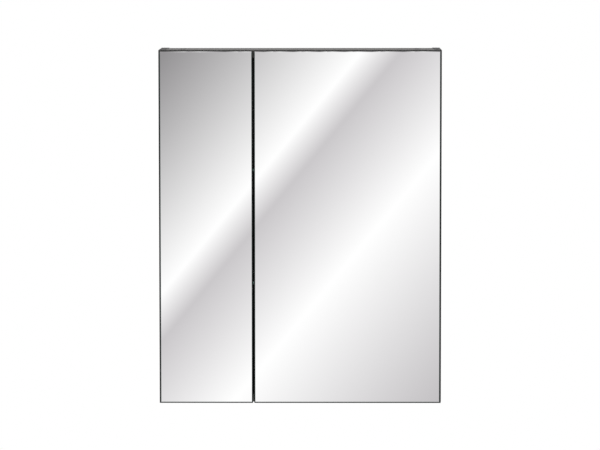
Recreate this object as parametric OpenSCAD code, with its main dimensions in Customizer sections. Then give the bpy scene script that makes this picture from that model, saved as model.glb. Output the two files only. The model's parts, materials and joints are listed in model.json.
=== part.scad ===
/* [Carcass] */
// Outer width of the carcass
cabinet_width = 600; // [560:10:800]
// Depth from the wall to the mirror's face
cabinet_depth = 180; // [160:5:220]
// Thickness of the carcass and door boards
board_t = 16; // [16:1:18]
// Thickness of the plastic edge bands
band_t = 1; // [0.8:0.1:2]
// Depth of the recess behind the top and bottom panels
rear_recess = 26; // [26:1:32]
// Thickness of the back panel
back_t = 3; // [3:0.5:4]
// Height of the carcass's top above the wall screws' centre
hang_drop = 62; // [56:1:80]

/* [Doors] */
// Height of both doors and of the carcass behind them
cabinet_height = 750; // [640:10:960]
// Width of the narrow left door
left_door_width = 198.5; // [180:0.5:260]
// Gap between the two doors
middle_gap = 3; // [2:0.5:4]
// Step from the carcass's side face in to the door's edge
door_step = 1; // [0.5:0.5:1]
// Gap between the carcass's front and the door's back
door_gap = 3; // [3:0.1:3.5]
// Thickness of the mirror glass
mirror_t = 4; // [3:1:5]
// Thickness of the foam tape behind the mirror
tape_t = 1; // [0.8:0.1:1.5]
// Bare margin of the door above and below the mirror
end_margin = 2.3; // [1:0.1:4]
// Bare margin beside the mirror on the hinge side
hinge_margin = 2.8; // [1:0.1:4]
// Bare margin beside the mirror at the gap between the doors
gap_margin = 1.2; // [0.8:0.1:4]

/* [Hinges] */
// Distance from the doors' ends to the hinge centres
hinge_inset = 100; // [80:5:130]
// Hinge pin's distance from the carcass's outer side face
pin_from_side = 8.5; // [8:0.5:9]
// Hinge pin's depth into the door from its back face
pin_depth = 10; // [9.5:0.5:10]
// Radius of the hinge pin
pin_r = 1.5; // [1.2:0.1:1.6]
// Radius of the cup bored into the door
cup_r = 17.5; // [17.5:0.5:18]

/* [Shelves] */
// Thickness of the glass shelves
shelf_t = 5; // [4:1:6]
// Gap between the doors' side of the carcass and the shelves' front edges
shelf_setback = 8; // [6:1:20]

/* [Wall fixing] */
// Distance between the upper and the lower wall screws
screw_spacing_z = 25; // [20:1:25]
// Radius of the wall plates' screw holes
screw_hole_r = 2.75; // [2.5:0.05:3]

/* [Hidden] */
$fn = 48;

// Colours
graphite = [0.25, 0.25, 0.25];
edge_grey = [0.21, 0.21, 0.21];
hardboard = [0.30, 0.29, 0.28];
silvered = [0.72, 0.74, 0.75];
shelf_glass = [0.70, 0.84, 0.80, 0.6];
foam_black = [0.10, 0.10, 0.10];
zinc = [0.68, 0.69, 0.70];
nickel = [0.76, 0.74, 0.71];
black_plastic = [0.08, 0.08, 0.08];
beech = [0.80, 0.66, 0.47];
clear_rubber = [0.86, 0.88, 0.88];

// Depths, from the wall at y = 0 to the mirror's face at y = -cabinet_depth
half = cabinet_width / 2;
inner = half - board_t;
mirror_back = -cabinet_depth + mirror_t;
door_front = mirror_back + tape_t;
door_back = door_front + board_t;
front = door_back + door_gap;
panel_back = -rear_recess;
back_rear = panel_back + back_t;

// Heights, from the wall screws' centre at z = 0
top = hang_drop;
bottom = top - cabinet_height;
right_door_width = cabinet_width - 2 * door_step - middle_gap - left_door_width;

// A hair's breadth of room round each fastener and dowel
fit = 0.02;
// Bevel on edge bands and shelves, and how far cam fittings lie below the face
bevel = 0.5;
sink = 0.1;

// Lines of fittings along the boards' depth: near the front, near the back, and halfway
line_front = front + 37;
line_rear = panel_back - 29;
line_middle = (line_front + line_rear) / 2;

// Cam fittings
cam_x = half - 50;
cam_r = 7.4;
cam_disc_r = 5;
cam_depth = 12.5;
bolt_r = 2.45;
bolt_neck_r = 1.8;
bolt_collar = 2;
bolt_head_r = 3.3;
bolt_head = 3.5;
bolt_in_side = 10.8;
dowel_r = 4;
dowel_in_side = 10;
dowel_in_panel = 20;

// Back panel
groove = 8;
groove_room = 0.1;
back_lip = 1;
back_screw_x = [-200, 0, 200];
back_screw_r = 1.5;
back_head_r = 3.2;
back_head = 1.6;
back_screw_len = 16;

// Shelves, each named by the height of its glass's underside
bay = (top - bottom - 2 * board_t - 2 * shelf_t) / 3;
lower_shelf_z = bottom + board_t + bay;
upper_shelf_z = lower_shelf_z + shelf_t + bay;
shelf_front = front + shelf_setback;
shelf_rear = panel_back - 2;
shelf_room = 1.5;
hole_pitch = 32;
support_r = 2.45;
support_len = 8;
support_hole = 10;
tab_len = 13;
tab_t = 2.5;
pad_t = 0.8;
hole_steps = [-2:2];

// Wall plates and hangers
plate_x = inner - 34;
plate_half = 26;
plate_t = 2;
lip_out = 8;
lip_low = 18;
lip_top = 34;
screw_x = inner - 10;
screw_rows = [30, -8];
hook_x = inner - 16;
hook_t = 3;
housing_top = 48;
housing_low = -24;
housing_out = inner - 28;
housing_front = back_rear + 0.6;
block_front = housing_front + 4.4;
block_rear = -9;
spigot_rows = [36, -12];
spigot_r = 4.9;
spigot_len = 9.5;
spigot_y = -12;
sheet_t = 2;
block_low = -18;
block_high = 42;
adjuster_r = 2.45;
adjuster_head_r = 3.6;
cap_hole_r = 5;

// Hinges: the pin's place, and the heights of the upper and the lower hinge
pin_x = -half + pin_from_side;
pin_y = door_back - pin_depth;
upper_hinge_z = top - hinge_inset;
lower_hinge_z = bottom + hinge_inset;
hinge_rows = [upper_hinge_z, lower_hinge_z];
cup_x = -half + 4 + cup_r;
cup_depth = 13.5;
cup_wall = 1;
cup_floor = 0.7;
flange_t = 1.2;
flange_r = cup_r + 0.5;
ear_x = cup_x + 9.5;
ear_z = 22.5;
ear_r = 6;
knuckle_r = 2.5;
knuckle_half = 4.6;
cheek_in = 4.8;
cheek_out = 9;
pin_room = 0.05;
arm_t = 2.5;
neck_x = -half + 21.2;
arm_web_x = -half + 29.5;
arm_front = front + 4;
arm_rear = front + 64;
arm_half = 8.2;
arm_wall = 1.6;
spine_x = -half + 27.5;
spine_half = 6.4;
plate_screw_z = 16;
plate_screw_r = 2;
screw_start = 4;
wing_t = 2;
wing_r = 7;
wing_half = 18;
arm_screw_y = [front + 20, front + 52];
arm_screw_r = 1.85;
cup_screw_r = 1.75;

// Mirrors and bumpers
glass_bevel = 0.6;
tape_width = 25;
tape_inset = 14.3;
tape_spacing = 130;
bumper_r = 4.5;
bumper_inset = 12;

// ---- Helpers ----

// A box from its low corner to its high corner
module block(low, high) {
    translate(low) cube(high - low);
}

// A slab facing along y, with its front and back edges bevelled
module upright_slab(low, high, c) {
    hull() {
        block(low + [c, 0, c], high - [c, 0, c]);
        block(low + [0, c, 0], high - [0, c, 0]);
    }
}

// A slab facing along z, with its upper and lower edges bevelled
module flat_slab(low, high, c) {
    hull() {
        block(low + [c, c, 0], high - [c, c, 0]);
        block(low + [0, 0, c], high - [0, 0, c]);
    }
}

// Rods along x and along y, each from its start for its length
module rod_x(start, length, r) {
    translate(start) rotate([0, 90, 0]) cylinder(r = r, h = length);
}

module rod_y(start, length, r) {
    translate(start) rotate([-90, 0, 0]) cylinder(r = r, h = length);
}

// A cross slot cut along z into a screw head, centred on the origin
module cross_slot(size, depth) {
    for (turn = [0, 90])
        rotate([0, 0, turn]) translate([-size / 2, -size / 8, -depth]) cube([size, size / 4, depth + 1]);
}

// Draws its children, made for the left, on the left (-1) or on the right (1)
module on_side(side) {
    if (side < 0) children();
    else mirror([1, 0, 0]) children();
}

// The corners where a cam fitting joins a panel to a side: children are drawn at each
module at_cams() {
    for (side = [-1, 1]) on_side(side)
        for (y = [line_front, line_rear]) {
            translate([-cam_x, y, top]) children();
            translate([-cam_x, y, bottom]) mirror([0, 0, 1]) children();
        }
}

// The heights of the two panels' middles
function panel_rows() = [top - board_t / 2, bottom + board_t / 2];

// ---- Carcass ----

// Left side board, with its bores
module side_panel(side) {
    color(graphite) on_side(side) difference() {
        block([-half, front + band_t, bottom], [-inner, 0, top]);
        block([-inner - groove, panel_back - groove_room, bottom - 1],
              [-inner + 1, back_rear + groove_room, top + 1]);
        for (z = panel_rows()) {
            for (y = [line_front, line_rear])
                rod_x([-inner - bolt_in_side - fit, y, z], bolt_in_side + 1, bolt_r + fit);
            rod_x([-inner - dowel_in_side - fit, line_middle, z], dowel_in_side + 1, dowel_r + fit);
        }
        for (z = [lower_shelf_z, upper_shelf_z], step = hole_steps, y = [line_front, line_rear])
            rod_x([-inner - support_hole, y, z - pad_t - tab_t + step * hole_pitch],
                  support_hole + 1, support_r + fit);
        for (z = hinge_rows, dz = [-plate_screw_z, plate_screw_z])
            rod_x([-half + screw_start - 0.2, line_front, z + dz], board_t, plate_screw_r + fit);
        for (z = spigot_rows)
            rod_x([-inner - spigot_len - 0.5, spigot_y, z], spigot_len + 1, spigot_r + fit);
    }
}

module side_panel_left() { side_panel(-1); }
module side_panel_right() { side_panel(1); }

// A horizontal board, made as the top panel: cam bores open upwards
module horizontal_panel() {
    difference() {
        block([-inner, front + band_t, top - board_t], [inner, panel_back, top]);
        for (side = [-1, 1]) on_side(side) {
            for (y = [line_front, line_rear]) {
                translate([-cam_x, y, top - cam_depth - sink - fit]) cylinder(r = cam_r + fit, h = cam_depth + 1);
                rod_x([-inner - 1, y, top - board_t / 2], inner - cam_x + 1, bolt_head_r + 0.5);
            }
            rod_x([-inner - 1, line_middle, top - board_t / 2], dowel_in_panel + 1 + fit, dowel_r + fit);
        }
        for (x = back_screw_x)
            rod_y([x, panel_back - back_screw_len, top - board_t / 2], back_screw_len + 1, back_screw_r + fit);
    }
}

// Turns the top panel's shape over into the bottom panel's
module as_bottom() {
    translate([0, 0, top + bottom]) mirror([0, 0, 1]) children();
}

module top_panel() { color(graphite) horizontal_panel(); }
module bottom_panel() { color(graphite) as_bottom() horizontal_panel(); }

// Back panel, held in the sides' grooves
module back_panel() {
    color(hardboard) difference() {
        block([-inner - groove + 0.2, panel_back, bottom + back_lip],
              [inner + groove - 0.2, back_rear, top - back_lip]);
        for (x = back_screw_x, z = panel_rows()) {
            rod_y([x, panel_back - 1, z], back_t + 2, back_screw_r + fit);
            translate([x, back_rear - back_head, z]) rotate([-90, 0, 0])
                cylinder(r1 = back_screw_r + fit, r2 = back_head_r + fit, h = back_head);
        }
        for (x = [-screw_x, screw_x], z = screw_rows)
            rod_y([x, panel_back - 1, z], back_t + 2, cap_hole_r);
    }
}

// A front edge band's outline seen end on: width along x, its front edges bevelled
module band_outline(width) {
    polygon([[0, 0], [0, -band_t + bevel], [bevel, -band_t], [width - bevel, -band_t],
             [width, -band_t + bevel], [width, 0]]);
}

module side_edge_bands() {
    color(edge_grey) for (side = [-1, 1]) on_side(side)
        translate([-half, front + band_t, bottom]) linear_extrude(top - bottom) band_outline(board_t);
}

// A panel's edge band, between the sides
module panel_band(z) {
    color(edge_grey) translate([inner, front + band_t, z]) rotate([0, -90, 0])
        linear_extrude(2 * inner) band_outline(board_t);
}

module top_edge_band() { panel_band(top - board_t); }
module bottom_edge_band() { panel_band(bottom); }

// Countersunk screws through the back panel
module back_panel_screws() {
    color(zinc) for (x = back_screw_x, z = panel_rows()) difference() {
        union() {
            rod_y([x, panel_back - back_screw_len + 0.5, z], back_screw_len + back_t - 1, back_screw_r);
            translate([x, back_rear - back_head, z]) rotate([-90, 0, 0])
                cylinder(r1 = back_screw_r, r2 = back_head_r, h = back_head);
        }
        translate([x, back_rear, z]) rotate([-90, 0, 0]) cross_slot(3.2, 1);
    }
}

// ---- Cam fittings and dowels ----

// Plastic housings, with a side hole for the bolt
module cam_housings() {
    color(black_plastic) at_cams() difference() {
        translate([0, 0, -cam_depth - sink]) cylinder(r = cam_r, h = cam_depth);
        translate([0, 0, -cam_depth - sink + 1]) cylinder(r = cam_disc_r + fit, h = cam_depth);
        rod_x([-cam_r - 1, 0, -board_t / 2], cam_r + 1, bolt_head_r + 0.3);
    }
}

// Turning discs, hollowed where they grip the bolt's head
module cam_discs() {
    color(zinc) at_cams() difference() {
        translate([0, 0, -cam_depth - sink + 1 + fit]) cylinder(r = cam_disc_r, h = cam_depth - 1.1);
        rod_x([-cam_disc_r - 1, 0, -board_t / 2], cam_disc_r + 4, bolt_head_r + 0.3);
        translate([0, 0, -sink]) cross_slot(6, 2);
    }
}

// Bolts from the sides into the cams
module cam_bolts() {
    color(zinc) at_cams() translate([0, 0, -board_t / 2]) {
        rod_x([cam_x - inner - bolt_in_side, 0, 0], bolt_in_side, bolt_r);
        rod_x([cam_x - inner, 0, 0], bolt_collar, bolt_head_r);
        rod_x([cam_x - inner, 0, 0], inner - cam_x, bolt_neck_r);
        rod_x([-2, 0, 0], bolt_head, bolt_head_r);
    }
}

module wood_dowels() {
    color(beech) for (side = [-1, 1], z = panel_rows()) on_side(side)
        rod_x([-inner - dowel_in_side, line_middle, z], dowel_in_side + dowel_in_panel, dowel_r);
}

// ---- Shelves ----

module glass_shelf(z) {
    color(shelf_glass)
        flat_slab([-inner + shelf_room, shelf_front, z],
                  [inner - shelf_room, shelf_rear, z + shelf_t], bevel);
}

module shelf_lower() { glass_shelf(lower_shelf_z); }
module shelf_upper() { glass_shelf(upper_shelf_z); }

// Children are drawn at each shelf support's place on the side's inner face
module at_supports() {
    for (side = [-1, 1], z = [lower_shelf_z, upper_shelf_z], y = [line_front, line_rear])
        on_side(side) translate([-inner, y, z - pad_t]) children();
}

module shelf_supports() {
    color(nickel) at_supports() {
        rod_x([-support_len, 0, -tab_t], support_len, support_r);
        rod_x([0, 0, -tab_t], 1, 4);
        block([0, -5, -tab_t], [tab_len, 5, 0]);
    }
}

module shelf_pads() {
    color(clear_rubber) at_supports() translate([tab_len - 5, 0, 0]) cylinder(r = 3.5, h = pad_t);
}

// ---- Hangers and wall plates ----

// Steel bracket behind the back panel, pressed into the side board
module hanger_housing(side) {
    color(zinc) on_side(side) difference() {
        union() {
            block([-inner, housing_front, housing_low], [-inner + sheet_t, -3, housing_top]);
            block([-inner, housing_front, housing_low], [-housing_out, housing_front + sheet_t, housing_top]);
            block([-inner, housing_front, housing_top - sheet_t], [-housing_out, -4, housing_top]);
            block([-inner, housing_front, housing_low], [-housing_out, -4, housing_low + sheet_t]);
            for (z = spigot_rows)
                rod_x([-inner - spigot_len, spigot_y, z], spigot_len, spigot_r);
        }
        for (z = screw_rows)
            rod_y([-screw_x, housing_front - 1, z], sheet_t + 2, adjuster_r + 0.35);
    }
}

module hanger_housing_left() { hanger_housing(-1); }
module hanger_housing_right() { hanger_housing(1); }

// Nut block that the adjusting screws move
module hanger_block(side) {
    color(zinc) on_side(side) difference() {
        block([-inner + 4, block_front, block_low], [-hook_x, block_rear, block_high]);
        for (z = screw_rows)
            rod_y([-screw_x, block_front - 1, z], block_rear - block_front + 2, adjuster_r + 0.05);
    }
}

module hanger_block_left() { hanger_block(-1); }
module hanger_block_right() { hanger_block(1); }

// Steel hook, flat in the y-z plane, resting on the wall plate's lip
module hanger_hook(side) {
    slot_front = -lip_out - 0.6;
    slot_rear = -lip_out + plate_t + 0.6;
    nose_rear = slot_rear + 3;
    color(zinc) on_side(side) translate([-hook_x, 0, 0]) rotate([90, 0, 90]) linear_extrude(hook_t)
        polygon([[block_front, block_low], [block_rear - 0.5, block_low],
                 [slot_front, block_low + 6], [slot_front, lip_top],
                 [slot_rear, lip_top], [slot_rear, lip_top - 8], [slot_rear + 0.8, lip_top - 9],
                 [nose_rear, lip_top - 9], [nose_rear, lip_top + 3], [nose_rear - 4, lip_top + 8],
                 [block_front, lip_top + 8]]);
}

module hanger_hook_left() { hanger_hook(-1); }
module hanger_hook_right() { hanger_hook(1); }

// Adjusting screws, their heads trapped behind the housings' front walls
module hanger_screws() {
    head_front = housing_front + sheet_t + 0.1;
    color(nickel) for (side = [-1, 1], z = screw_rows) on_side(side) difference() {
        union() {
            rod_y([-screw_x, head_front, z], 2.2, adjuster_head_r);
            rod_y([-screw_x, head_front, z], block_rear - 0.5 - head_front, adjuster_r);
        }
        translate([-screw_x, head_front, z]) rotate([90, 0, 0]) cross_slot(4, 1.6);
    }
}

// Caps that close the screws' access holes inside the cabinet
module hanger_hole_caps() {
    color(black_plastic) for (x = [-screw_x, screw_x], z = screw_rows) {
        rod_y([x, panel_back, z], back_t - 0.2, cap_hole_r - fit);
        translate([x, panel_back, z]) rotate([90, 0, 0]) cylinder(r1 = 7, r2 = 6.2, h = 1);
    }
}

// Plate screwed to the wall, with a lip standing off it for the hook
module wall_plate(side) {
    color(zinc) on_side(side) difference() {
        union() {
            block([-plate_x - plate_half, -plate_t, -22], [-plate_x + plate_half, 0, lip_low + 2]);
            block([-plate_x - plate_half, -lip_out, lip_low], [-plate_x + plate_half, 0, lip_low + 2]);
            block([-plate_x - plate_half, -lip_out, lip_low],
                  [-plate_x + plate_half, -lip_out + plate_t, lip_top]);
        }
        for (z = [-screw_spacing_z / 2, screw_spacing_z / 2])
            rod_y([-plate_x, -plate_t - 1, z], plate_t + 2, screw_hole_r);
    }
}

module wall_plate_left() { wall_plate(-1); }
module wall_plate_right() { wall_plate(1); }

// ---- Hinges ----

// Mounting plate screwed to a side board
module hinge_plate(side, z) {
    color(nickel) on_side(side) translate([0, 0, z]) difference() {
        union() {
            block([-inner, line_front - wing_r, -wing_half], [-inner + wing_t, line_front + wing_r, wing_half]);
            for (dz = [-wing_half, wing_half])
                rod_x([-inner, line_front, dz], wing_t, wing_r);
            block([-inner, front + 12, -spine_half], [spine_x, front + 60, spine_half]);
        }
        for (dz = [-plate_screw_z, plate_screw_z])
            rod_x([-inner - 1, line_front, dz], wing_t + 2, plate_screw_r + 0.1);
        for (y = arm_screw_y)
            rod_x([-inner + wing_t, y, 0], 10, arm_screw_r + fit);
    }
}

module hinge_plate_upper_left() { hinge_plate(-1, upper_hinge_z); }
module hinge_plate_upper_right() { hinge_plate(1, upper_hinge_z); }
module hinge_plate_lower_left() { hinge_plate(-1, lower_hinge_z); }
module hinge_plate_lower_right() { hinge_plate(1, lower_hinge_z); }

module hinge_plate_screws() {
    color(zinc) for (side = [-1, 1]) on_side(side)
        for (z = hinge_rows, dz = [-plate_screw_z, plate_screw_z]) difference() {
            union() {
                rod_x([-half + screw_start, line_front, z + dz], board_t - screw_start + wing_t, plate_screw_r);
                translate([-inner + wing_t, line_front, z + dz]) rotate([0, 90, 0])
                    cylinder(r1 = 3.8, r2 = 3, h = 2);
            }
            translate([-inner + wing_t + 2, line_front, z + dz]) rotate([0, 90, 0]) cross_slot(4, 1.4);
        }
}

// The goose-neck seen from above: from the pin along the cup, then back into the cabinet
module neck_outline() {
    outer = 3;
    inner_r = 1;
    low = pin_y - arm_t / 2;
    high = pin_y + arm_t / 2;
    far = neck_x + arm_t;
    steps = 6;
    polygon(concat(
        [[pin_x, low]],
        [for (i = [0:steps]) [far - outer, low + outer] + outer * [sin(i * 90 / steps), -cos(i * 90 / steps)]],
        [[far, arm_front], [arm_web_x, arm_front], [arm_web_x, arm_front + arm_t],
         [neck_x, arm_front + arm_t]],
        [for (i = [0:steps])
            [neck_x - inner_r, high + inner_r] + inner_r * [cos(i * 90 / steps), -sin(i * 90 / steps)]],
        [[pin_x, high]]));
}

// Fixed arm: knuckle, goose-neck and channel in one piece
module hinge_arm(side, z) {
    color(nickel) on_side(side) translate([0, 0, z]) difference() {
        union() {
            translate([pin_x, pin_y, -knuckle_half]) cylinder(r = knuckle_r, h = 2 * knuckle_half);
            translate([0, 0, -knuckle_half]) linear_extrude(2 * knuckle_half) neck_outline();
            block([spine_x, arm_front, -arm_half], [arm_web_x, arm_rear, arm_half]);
            for (low = [-arm_half, arm_half - arm_wall])
                block([-inner + 3, arm_front + 4, low], [arm_web_x, arm_rear - 4, low + arm_wall]);
        }
        translate([pin_x, pin_y, -knuckle_half - 1]) cylinder(r = pin_r + pin_room, h = 2 * knuckle_half + 2);
        for (y = arm_screw_y)
            rod_x([arm_web_x - 3, y, 0], 4, 2.6);
    }
}

module hinge_arm_upper_left() { hinge_arm(-1, upper_hinge_z); }
module hinge_arm_upper_right() { hinge_arm(1, upper_hinge_z); }
module hinge_arm_lower_left() { hinge_arm(-1, lower_hinge_z); }
module hinge_arm_lower_right() { hinge_arm(1, lower_hinge_z); }

module hinge_arm_screws() {
    color(zinc) for (side = [-1, 1]) on_side(side)
        for (z = hinge_rows, y = arm_screw_y) difference() {
            union() {
                rod_x([-inner + 4, y, z], arm_web_x + inner - 4, arm_screw_r);
                rod_x([arm_web_x, y, z], 2.2, 4);
            }
            translate([arm_web_x + 2.2, y, z]) rotate([0, 90, 0]) cross_slot(4.4, 1.5);
        }
}

// Cup let into the door, with a flange, two ears and the cheeks that hold the pin
module hinge_cup(side, z) {
    back = door_back;
    color(nickel) on_side(side) translate([0, 0, z]) difference() {
        union() {
            difference() {
                rod_y([cup_x, back - cup_depth, 0], cup_depth, cup_r - 0.1);
                rod_y([cup_x, back - cup_depth + cup_floor, 0], cup_depth, cup_r - 0.1 - cup_wall);
            }
            difference() {
                union() {
                    rod_y([cup_x, back, 0], flange_t, flange_r);
                    block([ear_x - ear_r, back, -ear_z], [ear_x + ear_r, back + flange_t, ear_z]);
                    for (dz = [-ear_z, ear_z])
                        rod_y([ear_x, back, dz], flange_t, ear_r);
                }
                rod_y([cup_x, back - 1, 0], flange_t + 2, cup_r - 0.1 - cup_wall);
            }
            intersection() {
                rod_y([cup_x, back - cup_depth, 0], cup_depth, cup_r - 0.1);
                for (low = [-cheek_out, cheek_in])
                    block([pin_x - 3.5, back - cup_depth, low], [pin_x + 3.5, pin_y + 3, low + cheek_out - cheek_in]);
            }
        }
        translate([pin_x, pin_y, -cheek_out - 0.1]) cylinder(r = pin_r + 0.005, h = 2 * cheek_out + 0.2);
        for (dz = [-ear_z, ear_z])
            rod_y([ear_x, back - 1, dz], flange_t + 2, cup_screw_r + 0.1);
    }
}

module hinge_cup_upper_left() { hinge_cup(-1, upper_hinge_z); }
module hinge_cup_upper_right() { hinge_cup(1, upper_hinge_z); }
module hinge_cup_lower_left() { hinge_cup(-1, lower_hinge_z); }
module hinge_cup_lower_right() { hinge_cup(1, lower_hinge_z); }

module hinge_pins(side) {
    color(zinc) on_side(side) for (z = hinge_rows)
        translate([pin_x, pin_y, z - cheek_out]) cylinder(r = pin_r, h = 2 * cheek_out);
}

module hinge_pins_left() { hinge_pins(-1); }
module hinge_pins_right() { hinge_pins(1); }

module cup_screws(side) {
    head = door_back + flange_t;
    color(zinc) on_side(side) for (z = hinge_rows, dz = [-ear_z, ear_z]) difference() {
        union() {
            rod_y([ear_x, head - 12, z + dz], 12, cup_screw_r);
            translate([ear_x, head, z + dz]) rotate([-90, 0, 0]) cylinder(r1 = 3.5, r2 = 2.6, h = 1.4);
        }
        translate([ear_x, head + 1.4, z + dz]) rotate([-90, 0, 0]) cross_slot(3.6, 1.1);
    }
}

module cup_screws_left() { cup_screws(-1); }
module cup_screws_right() { cup_screws(1); }

// ---- Doors: each is made for the left, hinged on its outer edge, and mirrored for the right ----

// The door slab's outer corners, drawn in by a margin on all four edges
function door_low(margin) = [-half + door_step + margin, door_front, bottom + margin];
function door_high(width, margin) = [-half + door_step + width - margin, door_back, top - margin];

module door_board(side, width) {
    color(graphite) on_side(side) difference() {
        block(door_low(band_t), door_high(width, band_t));
        for (z = hinge_rows) {
            rod_y([cup_x, door_back - cup_depth - 0.1, z], cup_depth + 1, cup_r);
            for (dz = [-ear_z, ear_z])
                rod_y([ear_x, door_back - 11.5, z + dz], 13, cup_screw_r + fit);
        }
    }
}

module door_board_left() { door_board(-1, left_door_width); }
module door_board_right() { door_board(1, right_door_width); }

module door_edge_bands(side, width) {
    color(edge_grey) on_side(side) difference() {
        upright_slab(door_low(0), door_high(width, 0), bevel);
        block(door_low(band_t) - [0, 1, 0], door_high(width, band_t) + [0, 1, 0]);
    }
}

module door_edge_bands_left() { door_edge_bands(-1, left_door_width); }
module door_edge_bands_right() { door_edge_bands(1, right_door_width); }

module mirror_glass(side, width) {
    near = -half + door_step;
    color(silvered) on_side(side)
        upright_slab([near + hinge_margin, -cabinet_depth, bottom + end_margin],
                     [near + width - gap_margin, mirror_back, top - end_margin], glass_bevel);
}

module mirror_left() { mirror_glass(-1, left_door_width); }
module mirror_right() { mirror_glass(1, right_door_width); }

// Upright strips of foam tape, evenly spread behind the glass
module mirror_tape(side, width) {
    count = max(2, round(width / tape_spacing));
    reach = width - 2 * tape_inset - tape_width;
    low = door_low(tape_inset);
    color(foam_black) on_side(side) for (i = [0:count - 1])
        block([low[0] + i * reach / (count - 1), mirror_back, low[2]],
              [low[0] + i * reach / (count - 1) + tape_width, door_front, top - tape_inset]);
}

module mirror_tape_left() { mirror_tape(-1, left_door_width); }
module mirror_tape_right() { mirror_tape(1, right_door_width); }

// Soft bumpers on the door's back, near its free edge, meeting the carcass's panels
module door_bumpers(side, width) {
    color(clear_rubber) on_side(side) for (z = panel_rows())
        translate([-half + door_step + width - bumper_inset, door_back, z]) rotate([-90, 0, 0])
            cylinder(r1 = bumper_r, r2 = bumper_r - 0.7, h = door_gap - 0.1);
}

module door_bumpers_left() { door_bumpers(-1, left_door_width); }
module door_bumpers_right() { door_bumpers(1, right_door_width); }

// ---- Assembly ----

side_panel_left();
side_panel_right();
top_panel();
bottom_panel();
back_panel();
side_edge_bands();
top_edge_band();
bottom_edge_band();
back_panel_screws();
cam_housings();
cam_discs();
cam_bolts();
wood_dowels();
shelf_lower();
shelf_upper();
shelf_supports();
shelf_pads();
hanger_housing_left();
hanger_housing_right();
hanger_block_left();
hanger_block_right();
hanger_hook_left();
hanger_hook_right();
hanger_screws();
hanger_hole_caps();
wall_plate_left();
wall_plate_right();
hinge_plate_upper_left();
hinge_plate_upper_right();
hinge_plate_lower_left();
hinge_plate_lower_right();
hinge_plate_screws();
hinge_arm_upper_left();
hinge_arm_upper_right();
hinge_arm_lower_left();
hinge_arm_lower_right();
hinge_arm_screws();
hinge_cup_upper_left();
hinge_cup_upper_right();
hinge_cup_lower_left();
hinge_cup_lower_right();
hinge_pins_left();
hinge_pins_right();
cup_screws_left();
cup_screws_right();
door_board_left();
door_board_right();
door_edge_bands_left();
door_edge_bands_right();
mirror_left();
mirror_right();
mirror_tape_left();
mirror_tape_right();
door_bumpers_left();
door_bumpers_right();
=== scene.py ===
"""Looks for a mirrored bathroom cabinet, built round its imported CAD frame. All is in metres."""
import json
import math

import bmesh
import bpy
from mathutils import Matrix, Vector

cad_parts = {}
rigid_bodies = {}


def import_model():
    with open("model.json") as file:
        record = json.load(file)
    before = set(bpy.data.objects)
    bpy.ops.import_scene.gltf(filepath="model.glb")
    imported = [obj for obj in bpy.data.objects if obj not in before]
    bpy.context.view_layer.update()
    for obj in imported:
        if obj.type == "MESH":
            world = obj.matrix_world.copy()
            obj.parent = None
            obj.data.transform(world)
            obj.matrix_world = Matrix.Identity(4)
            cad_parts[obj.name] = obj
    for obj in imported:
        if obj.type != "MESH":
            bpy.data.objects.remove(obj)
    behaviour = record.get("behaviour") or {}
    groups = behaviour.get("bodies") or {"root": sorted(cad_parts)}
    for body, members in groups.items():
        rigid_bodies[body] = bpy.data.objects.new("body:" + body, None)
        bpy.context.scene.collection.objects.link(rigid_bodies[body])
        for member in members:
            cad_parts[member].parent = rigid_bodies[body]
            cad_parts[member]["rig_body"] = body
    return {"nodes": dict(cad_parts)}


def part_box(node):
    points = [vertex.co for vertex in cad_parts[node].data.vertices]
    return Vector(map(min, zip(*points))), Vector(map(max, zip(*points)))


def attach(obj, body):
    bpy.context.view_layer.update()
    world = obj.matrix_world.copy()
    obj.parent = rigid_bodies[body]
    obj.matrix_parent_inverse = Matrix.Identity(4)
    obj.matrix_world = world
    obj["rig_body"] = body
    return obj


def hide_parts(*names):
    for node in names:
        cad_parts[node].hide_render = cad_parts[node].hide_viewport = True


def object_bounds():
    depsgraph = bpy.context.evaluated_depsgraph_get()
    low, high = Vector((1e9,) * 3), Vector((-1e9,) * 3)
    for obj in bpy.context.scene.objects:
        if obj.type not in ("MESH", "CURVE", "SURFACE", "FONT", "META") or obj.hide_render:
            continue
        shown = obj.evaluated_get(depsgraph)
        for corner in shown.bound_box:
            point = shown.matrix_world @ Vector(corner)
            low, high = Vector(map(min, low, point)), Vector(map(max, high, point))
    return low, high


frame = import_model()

CAD_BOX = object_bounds()
MM = 0.001
X, Y, Z = Vector((1, 0, 0)), Vector((0, 1, 0)), Vector((0, 0, 1))
SIDES = ("left", "right")
LEVELS = ("upper", "lower")


# ---- Shader nodes ----

def node(tree, kind, inputs=None, **settings):
    """A shader node. inputs maps a socket's name or number to a value, or to a socket."""
    made = tree.nodes.new(kind)
    for name, value in settings.items():
        setattr(made, name, value)
    for name, value in (inputs or {}).items():
        if isinstance(value, bpy.types.NodeSocket):
            tree.links.new(value, made.inputs[name])
        else:
            made.inputs[name].default_value = value
    return made


def calc(tree, operation, first, second=0.0):
    return node(tree, "ShaderNodeMath", {0: first, 1: second}, operation=operation).outputs[0]


def scaled(tree, value, amount):
    return calc(tree, "MULTIPLY", value, amount)


def new_material(name, **constants):
    """A material, its node tree and its shader, with constants set on the shader's own sockets."""
    made = bpy.data.materials.new(name)
    made.use_nodes = True
    shader = made.node_tree.nodes["Principled BSDF"]
    for socket, value in constants.items():
        shader.inputs[socket.replace("_", " ")].default_value = value
    return made, made.node_tree, shader


def coords(tree, stretch=(1, 1, 1)):
    """The piece's own coordinates, which turn with its door, scaled along each axis."""
    own = node(tree, "ShaderNodeTexCoord").outputs["Object"]
    return node(tree, "ShaderNodeMapping", {"Vector": own, "Scale": stretch}).outputs[0]


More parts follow.
